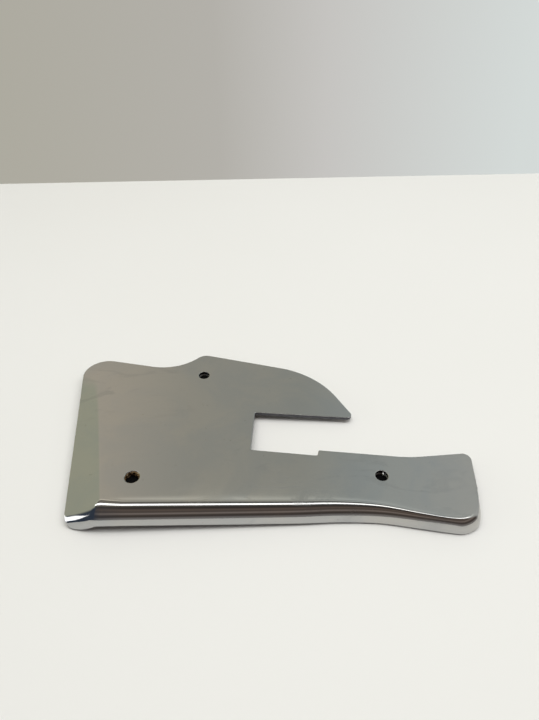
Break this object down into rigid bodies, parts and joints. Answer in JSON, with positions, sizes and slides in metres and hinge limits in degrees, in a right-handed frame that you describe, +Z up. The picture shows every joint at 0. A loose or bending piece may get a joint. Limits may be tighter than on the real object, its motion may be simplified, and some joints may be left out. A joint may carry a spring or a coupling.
{
  "type": "shaped cover plate",
  "caption": "Polished metal cover plate with a rolled front edge, bent wing, open notch, pointed fin, narrow arm and blind screw holes.",
  "frame": {"origin": "centre of the footprint, on the surface the plate lies on", "axes": "+X along the plate to the end of its arm, +Z up from the surface; the rolled front edge faces -Y"},
  "size_m": [0.2002, 0.1164, 0.0116],
  "materials": {
    "plated_sheet": "polished, lightly hazed",
    "rusty_steel": "rusty",
    "dark_steel": "dark, turned"
  },
  "bodies": {
    "root": {"cover_plate": "plated_sheet", "left_cup": "rusty_steel", "right_cup": "dark_steel", "upper_cup": "dark_steel"}
  },
  "joints": []
}
